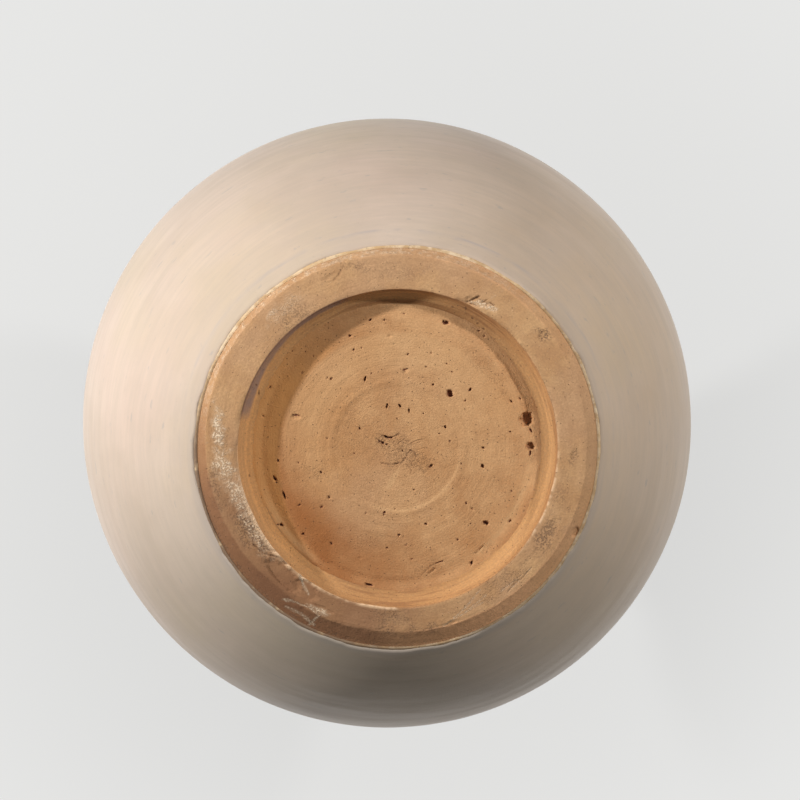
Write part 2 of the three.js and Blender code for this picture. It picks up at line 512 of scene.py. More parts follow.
# %% Shader group: clouds
clouds, give = new_group(
    "clouds", "ShaderNodeTree",
    {"Position": "Vector", "Size": 14.0, "From": 0.5, "To": 0.7, "Seed": 0.0},
    {"Cloud": "Float"})
puffs = noise(give["Position"], give["Size"], 4.0, 0.55, give["Seed"])
end_group({"Cloud": ramp(puffs, give["From"], give["To"])})

# %% [markdown]
# ## Painting a finish
# Each finish is painted as a potter's surface builds up: a ground colour, then one thin layer
# after another. A layer is a mask, how strongly it counts, and its colour. The mask is a node's
# output, or the name of an attribute that the shaping step stored on the piece's points.

# %% Material helpers
TONE_RANGE, RING_RANGE, GRAIN_RANGE = (0.34, 0.66), (0.3, 0.7), (0.35, 0.68)


def start_material(name):
    global tree, place
    material = bpy.data.materials.new(name)
    material.use_nodes = True
    tree = material.node_tree
    place = node("ShaderNodeTexCoord", out="Object")
    return material


def use(group, *values):
    return node("ShaderNodeGroup", dict(enumerate((place, *values))), node_tree=group)


def attribute(label):
    return node("ShaderNodeAttribute", out="Fac", attribute_name=label)


def paint(ground, layers):
    skin = (*ground, 1.0)
    for mask, share, *tint in layers:
        mask = attribute(mask) if isinstance(mask, str) else mask
        mask = mask if share == 1 else times(mask, share)
        skin = node("ShaderNodeMix", {0: mask, 6: skin, 7: (*tint, 1.0)}, out=2, data_type="RGBA")
    return skin


def end_material(skin, relief, depth, roughness):
    normal = node("ShaderNodeBump", {"Height": relief, "Distance": depth, "Strength": 1.0})
    feed(tree.nodes["Principled BSDF"],
         {"Base Color": skin, "Normal": normal, "Roughness": roughness})
    print(f"{len(tree.nodes)} nodes, bump {depth / MM} mm")


# %% [markdown]
# ## Bare clay of the floor
# The floor of the hollow is orange buff: slow changes of tone, warmer clouds, the wheel's fine
# rings, sand and pores. Pits are dark with old dirt, and the attribute that the pitting tree
# stored says where. Painted shade darkens the outer floor towards the left and lower left and
# beside the groove at the right; painted orange bounce light lifts the shadowed floor at the
# left, and painted highlights brighten the step and parts of the outer floor.

# %% Material: base clay
base_clay = start_material("base clay")
detail = use(grain, 70.0, 1700.0, 0.2, 0.17).node.outputs
rings = use(streaks, 1500.0, 2.5, 5.0, 0.0)
warm, pink = use(clouds, 26.0, 0.45, 0.66, 2.0), use(clouds, 34.0, 0.5, 0.7, 7.0)
blotch, crumbs = use(clouds, 260.0, 0.4, 0.62, 14.0), use(clouds, 1900.0, 0.5, 0.58, 3.0)
crumbs = times(crumbs, attribute("rough"))
skin = paint((0.55, 0.272, 0.108), [
    (ramp(detail["Tone"], *TONE_RANGE), 1, 0.71, 0.40, 0.181),
    (warm, 0.4, 0.58, 0.28, 0.098),
    (pink, 0.45, 0.59, 0.34, 0.18),
    (blotch, 0.16, 0.40, 0.19, 0.07),
    (ramp(rings, *RING_RANGE, 0.0, 0.2), 1, 0.43, 0.225, 0.10),
    (ramp(detail["Grain"], *GRAIN_RANGE, 0.34, 0.0), 1, 0.36, 0.18, 0.08),
    (detail["Sand"], 0.34, 0.72, 0.50, 0.30),
    # painted shade: darker towards the left and lower left, and beside the groove at the right
    ("flush", 1, 0.30, 0.09, 0.012),
    # painted orange bounce light in the shadowed outer floor at the left
    ("fired", 1, 0.90, 0.41, 0.12),
    (detail["Pores"], 0.6, 0.13, 0.05, 0.02),
    (crumbs, 0.22, 0.26, 0.12, 0.05),
    # painted highlights and painted light on the step and the outer floor
    ("shine", 1, 0.76, 0.46, 0.22),
    ("mark", 1, 0.11, 0.045, 0.02),
    (ramp(attribute("pit"), 0.25, 0.7), 1, 0.20, 0.065, 0.03)])
relief = minus(plus(detail["Height"], times(rings, 0.4)), crumbs)
end_material(skin, relief, 0.0004, 0.9)

# %% [markdown]
# ## Bare clay of the ring
# The ring is the same clay, rubbed by centuries of shelves: pinker and greyer, with dirt in its
# grain, white crumbs where it is abraded, and a bright raw burr along the inner edge. Shade is
# painted in as well: in the cove, on the bevel and, mixed with dirt, towards the bottom and lower
# left, with a violet tint at the cove's upper left; orange bounce light is painted into the cove
# at the left. The shape step stores where each of these lies, and noise breaks up their edges
# here.

# %% Material: foot clay
foot_clay = start_material("foot clay")
detail = use(grain, 85.0, 1500.0, 0.22, 0.15).node.outputs
rings = use(streaks, 1100.0, 3.5, 5.0, 4.0)
pink, mottle = use(clouds, 38.0, 0.42, 0.62, 5.0), use(clouds, 1400.0, 0.48, 0.57, 9.0)
crumbs, blotch = use(clouds, 1700.0, 0.46, 0.57, 1.0), use(clouds, 240.0, 0.4, 0.62, 16.0)
lines = times(attribute("cove"), ramp(rings, 0.46, 0.6, 0.0, 0.55))
lines = times(lines, ramp(attribute("shade"), 0.1, 0.4, 0.2, 1.0))
dirt = times(attribute("grime"), ramp(mottle, 0.0, 1.0, 0.06, 0.9))
white = times(attribute("chalk"), ramp(crumbs, 0.0, 1.0, 0.3, 1.0))
clean = ramp(dirt, 0.2, 0.6, 1.0, 0.15)
skin = paint((0.54, 0.29, 0.125), [
    (ramp(detail["Tone"], *TONE_RANGE), 1, 0.68, 0.40, 0.185),
    (pink, 0.6, 0.61, 0.36, 0.195),
    (blotch, 0.18, 0.42, 0.23, 0.115),
    # painted shade on the bevel, darkest from the lower left round to the left
    ("bevel", 1, 0.32, 0.145, 0.056),
    ("cove", 1, 0.70, 0.375, 0.145),
    # painted orange bounce light in the shadowed cove at the left
    ("fired", 1, 0.85, 0.42, 0.145),
    # a lighter bevel at the upper right and the lower right
    ("fresh", 1, 0.92, 0.49, 0.24),
    (ramp(rings, *RING_RANGE, 0.0, 0.2), 1, 0.40, 0.21, 0.10),
    (lines, 1, 0.28, 0.12, 0.045),
    (ramp(detail["Grain"], *GRAIN_RANGE, 0.36, 0.0), 1, 0.35, 0.185, 0.09),
    (detail["Sand"], 0.4, 0.76, 0.54, 0.33),
    # partly painted shade, partly dirt: darker and browner towards the bottom and lower left
    ("brown", 1, 0.22, 0.095, 0.04),
    # painted shade in the cove
    ("shade", 1, 0.22, 0.08, 0.018),
    # painted shade with a violet tint at the upper left of the cove
    ("violet", 1, 0.25, 0.17, 0.15),
    (detail["Pores"], 0.55, 0.12, 0.055, 0.025),
    (dirt, 1, 0.20, 0.11, 0.06),
    (times(white, clean), 1, 0.88, 0.67, 0.46),
    ("burr", 1, 0.86, 0.57, 0.34),
    # scratches, specks and a painted line of shade along the inner edge at the upper left
    ("mark", 1, 0.14, 0.06, 0.022)])
relief = plus(detail["Height"], times(rings, 0.5))
relief = plus(relief, minus(white, dirt))
end_material(skin, relief, 0.0003, 0.88)

# %% [markdown]
# ## Thrown clay and slip
# Inside, the jar was never turned or glazed: fingers left soft rings in the clay. The slip is a
# dry cream line that the glaze drew back from.

# %% Material: thrown clay
thrown_clay = start_material("thrown clay")
detail = use(grain, 45.0, 1100.0, 0.2, 0.15).node.outputs
rings = use(streaks, 420.0, 3.0, 4.0, 6.0)
skin = paint((0.40, 0.22, 0.11), [
    (ramp(detail["Tone"], *TONE_RANGE), 1, 0.54, 0.325, 0.18),
    (ramp(rings, *RING_RANGE, 0.0, 0.45), 1, 0.33, 0.18, 0.10),
    (detail["Pores"], 0.5, 0.13, 0.06, 0.03)])
relief = plus(detail["Height"], times(rings, 1.4))
end_material(skin, relief, 0.0003, 0.9)

# %% Material: pale slip
pale_slip = start_material("pale slip")
detail = use(grain, 260.0, 2200.0, 0.24, 0.2).node.outputs
gold = use(clouds, 90.0, 0.42, 0.6, 3.0)
skin = paint((0.52, 0.33, 0.165), [
    (ramp(detail["Tone"], 0.4, 0.62), 1, 0.76, 0.59, 0.39),
    (gold, 0.5, 0.66, 0.44, 0.22),
    # darker slip towards the left and the bottom
    ("stain", 1, 0.20, 0.12, 0.07)])
end_material(skin, detail["Height"], 0.0002, 0.75)

# %% [markdown]
# ## Cream glaze
# The glaze is a thin cream coat brushed and poured over slip. It is satin rather than mirror
# glossy, with soft yellowish and pinkish clouds, faint grey-blue strokes that run with the
# wheel, and pinholes. Its gloss comes from the shader; only its colour and relief are painted.
# Painted shade darkens the lower wall and the glaze's edge by the foot towards the bottom.

# %% Material: cream glaze
cream_glaze = start_material("cream glaze")
feed(tree.nodes["Principled BSDF"], {"Specular IOR Level": 0.15})
soft = use(streaks, 260.0, 2.2, 5.0, 1.0)
brush = use(streaks, 900.0, 7.0, 3.0, 12.0)
dashes = use(streaks, 520.0, 16.0, 2.0, 23.0)
yellow, pink = use(clouds, 13.0, 0.5, 0.68, 4.0), use(clouds, 11.0, 0.48, 0.68, 8.0)
detail = use(grain, 24.0, 500.0, 0.1, 0.09).node.outputs
skin = paint((0.56, 0.44, 0.345), [
    (ramp(detail["Tone"], 0.36, 0.64), 1, 0.63, 0.50, 0.40),
    (yellow, 0.4, 0.57, 0.455, 0.29),
    (pink, 0.5, 0.62, 0.465, 0.38),
    ("warm", 1, 0.58, 0.41, 0.245),
    (ramp(soft, 0.32, 0.68, 0.0, 0.34), 1, 0.51, 0.41, 0.32),
    (ramp(brush, 0.34, 0.62, 0.16, 0.0), 1, 0.44, 0.37, 0.31),
    (ramp(dashes, 0.64, 0.74, 0.0, 0.42), 1, 0.36, 0.33, 0.31),
    (detail["Pores"], 0.35, 0.28, 0.21, 0.15),
    # a grey line near the foot, and painted shade along the glaze's edge
    ("thin", 1, 0.42, 0.365, 0.345),
    # painted shade on the lower wall, darkest towards the bottom
    ("dull", 1, 0.36, 0.315, 0.235)])
gloss = plus(ramp(soft, 0.3, 0.7, 0.43, 0.53), times(attribute("matt edge"), 0.4))
relief = plus(times(brush, 0.15), soft)
relief = minus(relief, times(detail["Pores"], 0.8))
end_material(skin, relief, 0.00012, gloss)

# %% [markdown]
# ## The foot ring
# The ring is turned with a flat loop tool and its outer edge is cut back with a knife. The knife
# took more at the bottom of the picture than at the top, so the bevel's width changes round the
# foot. Its outline runs down the cove, over the face it stands on, up the bevel and back inside.

# %% The ring's outline
EDGE_RISE, RING_BACK, FINE_STEPS = 0.14, 55.0, 1080
cove = arc((COVE_FOOT, 0.0), CONTACT_INNER - COVE_FOOT, FOOT_HEIGHT, pi / 2, 0.0, 27)[:-1]
contact = ([(CONTACT_INNER + e, EDGE_RISE * (1 - e / 0.4) ** 2) for e in (0, 0.07, 0.2, 0.4)]
           + [(r, 0.0) for r in steps(CONTACT_INNER + 0.7, CONTACT_OUTER - 1.3, 25)]
           + [(CONTACT_OUTER - e, EDGE_RISE * (1 - e / 1.2) ** 2) for e in (0.9, 0.6, 0.35, 0.15)])
bevel = [(CONTACT_OUTER + (FOOT_RADIUS - CONTACT_OUTER) * s,
          EDGE_RISE + (BEVEL_HEIGHT - EDGE_RISE) * s) for s in steps(0.0, 1.0, 14)]
flank = [wall_point(turn_at(z)) for z in (4.0, 4.6, 5.6, FOOT_HEIGHT)]
ring_outline = cove + contact + bevel + flank + [(RING_BACK, FOOT_HEIGHT), cove[0]]
foot_ring = turn_piece("foot_ring_clay", ring_outline, FINE_STEPS, foot_clay)
print("ring outline:", len(ring_outline), "points")

# %% [markdown]
# The wear is then put on point by point. Each feature is one line: where it lies, how large it
# is and how deep. The face never goes below the plane that the jar stands on.

# %% The knife's bevel
points = points_of(foot_ring)
x, y, z = points.T
radius, angle, plan = np.hypot(x, y), np.arctan2(y, x), points * [1, 1, 0]
on_face = smooth(radius, 50.9, 51.6) * (1 - smooth(z, 3.2, 3.7))
on_bevel = smooth(radius, CONTACT_OUTER - 0.2, CONTACT_OUTER + 0.5) * (1 - smooth(z, 3.5, 3.8))
in_cove = (radius < CONTACT_INNER + 0.05) & (z < FOOT_HEIGHT - 0.01)
knife = around(angle, [
    (-180, 0.7), (-155, 1.7), (-120, 1.9), (-90, 1.5), (-60, 1.1), (-30, 0.4), (0, 0), (30, -0.3),
    (45, -0.9), (60, -1.3), (80, -1.6), (100, -1.9), (118, -1.5), (133, -2), (150, -1.1),
    (165, -0.3)])
knife += 0.35 * (crumbly(plan, 9.0, 21) - 0.5) + 0.5 * (crumbly(points, 1.5, 22) - 0.5)
reach = np.where(radius < CONTACT_OUTER, smooth(radius, RING_BACK, CONTACT_OUTER),
                 np.clip((FOOT_RADIUS - radius) / (FOOT_RADIUS - CONTACT_OUTER), 0, 1))
outward = knife * reach * (z < BEVEL_HEIGHT + 0.05)
print("knife, mm:", round(float(knife.min()), 2), "to", round(float(knife.max()), 2))

# %% Chips in the face: x, y, half length, half width, slant, depth, fray
CHIPS = [(-37, 41, 7.5, 3.8, 50, 0.7, 0.2), (-29.5, 45.5, 4.5, 3, 35, 0.5, 0.2),
         (-45.5, 27.5, 9.5, 3.6, 62, 0.2, 0.4), (-50.5, 14, 8, 3.2, 75, 0.14, 0.4),
         (25.3, -47.1, 4.6, 1.5, 16, 0.45, 0.6), (29.8, -45.7, 2.6, 1.1, 35, 0.3, 0.6),
         (46.5, -36.4, 1.5, 1.2, 20, 0.25, 0.5), (48.5, 27.5, 5.2, 2.6, 118, 0.14, 0.4),
         (56.1, 2.4, 1.4, 0.9, 90, 0.2, 0.5), (-1.5, 55.5, 5, 3.6, 5, 0.1, 0.4),
         (-58, -8.5, 5, 1.6, 85, 0.12, 0.4), (-12, -58.5, 4.6, 0.9, 8, 0.15, 0.5),
         (-14, -60, 3, 1, 12, 0.2, 0.5), (57.2, 27.2, 1.8, 1, 120, 0.8, 0.5),
         (-24, 52, 3.6, 1.2, 25, 0.25, 0.5), (17.5, 57.5, 2.4, 0.9, 160, 0.2, 0.5)]
lift = on_face * (0.26 * crumbly(points, 16.0, 31) + 0.15 * crumbly(points, 2.2, 32, 4) - 0.09)
for k, (*oval, deep, fray) in enumerate(CHIPS):
    lift += deep * on_face * patch(points, *oval, fray, 1.6, 40 + k)
print("chips:", len(CHIPS))

# %% Scratches in the face: corners, half width, depth, how dark, how bright
SCRATCHES = [
    ([(18.5, 55.2), (26.5, 45.4)], 0.14, 0.14, 0.1, 0.5),
    ([(22, 53), (28.5, 47)], 0.12, 0.1, 0.1, 0.4),
    ([(36, 46.5), (39, 43.6), (43.5, 38.5)], 0.12, 0.2, 0.12, 0.35),
    ([(33.5, 46), (40, 41)], 0.12, 0.15, 0.1, 0.35),
    ([(37.2, 44.2), (39.8, 41.9)], 0.1, 0.15, 0.3, 0),
    ([(15, 58.5), (24, 52), (28, 49.5)], 0.12, 0.1, 0.1, 0.5),
    ([(-31.7, 39.5), (-30.2, 44), (-28.6, 46.8)], 0.2, 0.3, 0, 0.9),
    ([(-37.5, 49.5), (-33.5, 50.8), (-29, 52.2), (-26, 55), (-28.5, 57.2)], 0.2, 0.22, 0, 0.8),
    ([(-36.5, 51.5), (-31.5, 54), (-27, 57.5)], 0.16, 0.18, 0, 0.6),
    ([(-46.5, 30.5), (-43, 33.6), (-40.3, 34.2), (-37.6, 35.3), (-35.6, 37.2)],
     0.16, 0.35, 0.5, 0),
    ([(-43.5, 31), (-41.5, 32.4), (-39, 33)], 0.12, 0.3, 0.4, 0),
    ([(-24, -53), (-19, -56)], 0.1, 0.15, 0.15, 0),
    ([(-20.5, -53.5), (-18.5, -55.5), (-17, -57.5)], 0.1, 0.2, 0.35, 0),
    ([(44, -30), (48.5, -27)], 0.1, 0.15, 0.1, 0),
    ([(21.7, -47.3), (23.8, -48.1), (25.7, -49.1)], 0.16, 0.35, 0.9, 0),
    ([(26.4, -47), (27.4, -47.3), (28.1, -47.9)], 0.08, 0.3, 0.25, 0),
    ([(22.6, -46.7), (24, -46.5), (24.8, -46)], 0.08, 0.3, 0.45, 0),
    ([(29.4, -46.9), (30.6, -46.2)], 0.08, 0.3, 0.3, 0),
    ([(22.8, -47.4), (26.5, -46.4), (30.5, -44.6)], 0.2, 0, 0, 0.8),
    ([(25.8, -47.8), (28.6, -46.4), (31.4, -45.4)], 0.16, 0, 0, 0.6),
    ([(29.5, -48.4), (31.9, -49.6), (35.8, -51.8)], 0.1, 0, 0, 0.4)]
wander = 0.5 * (crumbly(points, 1.3, 77) - 0.5) + 0.3 * (crumbly(points, 5.0, 78) - 0.5)
cut, marks, bright = (values * on_face for values in scored(points, SCRATCHES, wander, 0.1))
lift += cut
print("scratches:", len(SCRATCHES))

# %% [markdown]
# The loop tool left a raw burr along part of the inner edge. Elsewhere that edge is worn round,
# and the cove behind it carries the tool's ridges.

# %% The burr, the worn edge and the turned cove
burr_where = around(angle, [
    (-180, 0), (-30, 0), (-12, 0.2), (2, 0.5), (12, 0.8), (30, 0.9), (37, 0.2), (60, 0),
    (89.5, 0), (91, 1), (103, 1), (106, 0.5), (118, 0.6), (134, 0.8), (140, 1), (156, 1),
    (162, 0.6), (172, 0.1)])
steady = around(angle, [(-180, 0.1), (60, 0.1), (61, 0.6), (103, 0.8), (106, 0.3),
                        (134, 0.4), (140, 0.8), (170, 0.8)])
burr = burr_where * (steady + (1 - steady) * smooth(crumbly(plan, 1.1, 51, 2), 0.3, 0.62))
at_edge = hill(radius, CONTACT_INNER, 0.4) * (z < 1.2)
inward = at_edge * burr_where * (0.15 + 0.9 * (crumbly(plan, 9.0, 52, 4) - 0.3))
worn = smooth(crumbly(plan, 5.0, 55, 3), 0.25, 0.75) * around(angle, [
    (-180, 0.5), (-120, 0.15), (-80, 0.3), (-62, 0.9), (-10, 0.7), (0, 0.2), (60, 0.2), (90, 0),
    (170, 0.1)])
inward -= 0.2 * worn * at_edge
lift += 0.9 * worn * np.clip(1 - (radius - CONTACT_INNER) / 1.9, 0, 1) ** 2 * on_face
up_the_cove = np.stack([z * 0.9, angle * 1.6, z * 0], 1)
turning = in_cove * (0.1 * np.sin(z * 4.4 + 0.8 * np.cos(angle)) * smooth(z, 0.6, 1.6)
                     + 0.2 * (crumbly(up_the_cove, 0.6, 61) - 0.5)
                     + 0.5 * (crumbly(plan, 12.0, 62) - 0.5) * between(z, 0.5, 2.5, 5.0, 6.9))
new_radius = radius + outward - inward + turning
points[:, 0], points[:, 1] = np.cos(angle) * new_radius, np.sin(angle) * new_radius
points[:, 2] = np.maximum(z + np.where(z < FOOT_HEIGHT - 0.01, lift, 0), 0.0)
move_points(foot_ring, points)
print("ring: lowest point, mm", round(float(points[:, 2].min()), 3))

# %% [markdown]
# Old dirt sits in the face's hollows, and chalky crumbs lie where it was rubbed. Each patch is an
# oval with a strength, and the material breaks it up.

# %% Dirt and chalk: x, y, half length, half width, slant, strength
DIRT = [(-47, 25.5, 13, 5, 62, 0.8), (-42.5, 31, 6.5, 3.4, 60, 0.9), (-1.5, 55.5, 8, 6, 5, 0.5),
        (48, 27.5, 10, 4.6, 118, 0.7), (-34, -42, 9, 6, -45, 0.4), (46.5, -36.4, 3.4, 2.8, 20, 0.9),
        (33.5, -49, 4.5, 2.5, 25, 0.15), (56.1, 2.4, 4, 1.8, 90, 0.5), (11, 58, 3, 2.4, 60, 0.5),
        (-15, -59, 9, 2.2, 10, 0.4), (52.5, 14, 9, 4, 105, 0.25), (35, 42, 11, 4.6, 140, 0.35),
        (-56, -2, 9, 3.5, 90, 0.25), (-58.5, 12, 10, 2.4, 80, 0.45), (0, -57, 13, 4.6, 0, 0.2),
        (54, -18, 11, 4.6, 70, 0.1)]
CHALK = [(-57.8, -7.5, 7.5, 2.4, 84, 1), (-55.5, 5.5, 8, 4, 70, 0.8),
         (-50.5, 15.5, 10, 4.2, 66, 0.75), (-45.5, 27, 9, 3.4, 60, 0.7),
         (27, -46.3, 5, 1.5, 18, 0.9), (-25, 52, 4.5, 1.2, 25, 0.8), (-40, -44, 4, 1.2, -48, 0.5),
         (-36.5, -45.5, 8, 3.5, -48, 0.25)]
COVE_SPECKS = [(21.7, -45, 0.7, 0.35, 80, 0.8), (23.9, -41.8, 0.6, 0.3, 40, 0.8),
               (25.6, -40.2, 0.5, 0.35, 20, 0.8), (27.4, -38.4, 0.7, 0.3, 30, 0.8),
               (-44.6, -17.7, 1, 0.35, 95, 0.8), (-45.4, -20.4, 0.5, 0.3, 60, 0.8),
               (-47.6, 9, 0.6, 0.3, 80, 0.8), (17.6, -45.4, 0.5, 0.3, 10, 0.8)]
grime = patches(points, DIRT, 0.7, 2.4, 80, 0.1)
rim_dirt = smooth(z, 2.6, 3.6) * (z < 4.3) * around(angle, [
    (-180, 0.2), (-160, 0), (50, 0), (80, 0.4), (100, 0.7), (150, 0.8)])
grime = np.maximum(grime, rim_dirt * smooth(crumbly(points, 1.6, 93), 0.25, 0.6))
chalk = patches(points, CHALK, 0.7, 2.2, 120, 0.2)
rim_chalk = on_bevel * around(angle, [
    (-180, 0), (-165, 0.25), (-150, 0.5), (-100, 0.5), (-60, 0.3), (-40, 0)])
chalk = np.maximum(chalk, rim_chalk * smooth(crumbly(points, 1.4, 131), 0.4, 0.62))
specks = patches(points, COVE_SPECKS, 0.3, 0.6, 260) * in_cove
print("dirt, chalk and specks:", len(DIRT), len(CHALK), len(COVE_SPECKS))

# %% How the ring's colour, painted shade and painted bounce light change round the foot
# Painted shade: the bevel darker from the lower left round to the left.
bevel_shade = on_bevel * (0.75 + 0.5 * crumbly(points, 2.4, 158)) * around(angle, [
    (-180, 0.8), (-165, 0.4), (-150, 0), (0, 0), (20, 0.1), (50, 0), (90, 0), (105, 0.3),
    (125, 0.9), (165, 1)])
# The bevel lighter at the upper right and the lower right.
fresh = (0.6 + 0.8 * crumbly(points, 2.4, 159)) * around(angle, [
    (-90, 0), (-60, 0.5), (-40, 0.3), (-15, 0.1), (0, 0), (20, 0.3), (40, 0.55),
    (60, 0.9), (80, 0.9), (98, 0.1), (105, 0)])
fresh *= smooth(radius, 60.0, 60.8) * (1 - smooth(z, 3.5, 3.8))
# Partly painted shade, partly dirt: the ring darker and browner towards the bottom and lower left,
# outside the cove.
brown = (0.7 + 0.6 * (crumbly(points, 9.0, 155) - 0.2)) * around(angle, [
    (-180, 0.26), (-160, 0), (60, 0), (80, 0.28), (95, 0.7), (110, 0.92), (130, 1),
    (150, 0.78), (165, 0.58)])
brown *= (1 + 0.15 * on_bevel) * (1 - in_cove)
# Painted shade with a violet tint on the steep top of the cove at the upper left, and a painted
# dark line of shade along the inner edge there.
violet_shade_mask = around(angle, [(-170, 0), (-166, 1), (-113, 1), (-106, 0)])
edge_shade_line = 0.55 * violet_shade_mask * between(radius, 50.9, 51.2, 51.45, 51.7) * (z < 2.6)
violet_from = around(angle, [(-180, 48.3), (-160, 48.3), (-150, 49), (-130, 49.6), (-100, 49.6)])
violet_shade_mask *= in_cove * smooth(radius - violet_from, 0.0, 0.7)
violet_shade_mask *= 0.5 + 0.7 * crumbly(points, 3.0, 156)
# Painted orange bounce light in the lower cove at the left.
fired = in_cove * (1 - smooth(radius, 48.6, 50.4)) * around(angle, [
    (-180, 0.9), (-150, 0.8), (-130, 0.4), (-110, 0), (110, 0), (135, 0.7), (160, 0.9)])
print("strip covers", round(float((violet_shade_mask > 0.1).mean()) * 100, 2), "% of the points")

# %% Painted shade in the cove, from its foot to the ring's edge
shade = around(angle, [
    (-180, 0), (-150, 0.05), (-130, 0.2), (-110, 0.3), (-80, 0.45), (-60, 0.5), (-40, 0.35),
    (-15, 0.1), (40, 0.05), (60, 0.15), (80, 0.35), (100, 0.35), (120, 0.1), (140, 0)])
edge_shade = around(angle, [(-180, 0), (-40, 0.3), (-10, 1), (60, 0.8), (100, 0.6), (115, 0)])
at_right = around(angle, [(-65, 0), (-45, 1), (10, 1), (30, 0)])
at_top = in_cove * around(angle, [(-120, 0), (-105, 1), (-75, 1), (-62, 0)])
shade = np.maximum(shade, 0.35 * smooth(radius, 50.0, 50.8) * edge_shade)
shade *= in_cove * (0.75 + 0.5 * crumbly(np.stack([z * 0.7, angle * 3, z * 0], 1), 1.0, 157))
shade *= 1 - 0.8 * smooth(z, 5.6, 6.8) * at_right
shade *= 1 - 0.7 * at_top * between(radius, 47.8, 48.6, 50.2, 50.8)
shade += 0.2 * at_top * (1 - smooth(radius, 47.4, 48.0))
burr_width = around(angle, [(-180, 0.4), (60, 0.3), (125, 0.42), (140, 0.75), (160, 0.6)])
# Besides the wear, these stored values hold painted shade and painted bounce light.
for label, values in (
        ("grime", grime * on_face), ("chalk", np.maximum(chalk * on_face, bright)),
        ("burr", burr * hill(radius, CONTACT_INNER + 0.1, burr_width) * (z < 0.7)),
        ("mark", np.maximum(np.maximum(marks, edge_shade_line), specks)), ("bevel", bevel_shade),
        ("fresh", fresh), ("fired", fired), ("cove", smooth(z, 0.5, 2.0) * in_cove),
        ("brown", brown), ("shade", shade), ("violet", 0.8 * violet_shade_mask)):
    store(foot_ring, label, values)
hand_over(foot_ring, "foot_ring")

# %% [markdown]
# ## The base disc
# Under the jar the floor was turned flat, with a narrow groove where the tool went down beside
# the ring and a low step round the middle. Scratches and the star of drying cracks at the middle
# are cut first. The pits are then placed where the real ones are, and the pores are scattered.

# %% The base disc's outline
RIDGE_RADIUS, GROOVE_RADIUS, GROOVE_HALF, GROOVE_DEPTH = 21.0, 44.0, 2.4, 0.3


def floor_level(r):
    level = FOOT_HEIGHT + 0.03 * cos(r * 1.9) * hill(r, 26, 9)
    level += 0.12 * (1 - 1 / (1 + exp(-(r - RIDGE_RADIUS + 0.6) / 0.4)))
    level -= 0.08 * hill(r, RIDGE_RADIUS + 0.5, 1.6)
    level += 0.04 * hill(r, 27.7, 0.35)
    groove = max(0.0, 1.0 - abs(r - GROOVE_RADIUS) / GROOVE_HALF)
    return level + GROOVE_DEPTH * groove * groove * (3 - 2 * groove)


disc_outline = [(r, floor_level(r)) for r in steps(0.0, COVE_FOOT, 148)]
disc_outline += [(DISC_RADIUS, FOOT_HEIGHT)]
disc_outline += [(r, FLOOR_HEIGHT) for r in steps(DISC_RADIUS, 16.0, 5)]
disc_outline += [(8.0, 14.4), (0.0, 13.8)]
base_disc = turn_piece("turned_base", disc_outline, 600, base_clay)
print("disc outline:", len(disc_outline), "points")

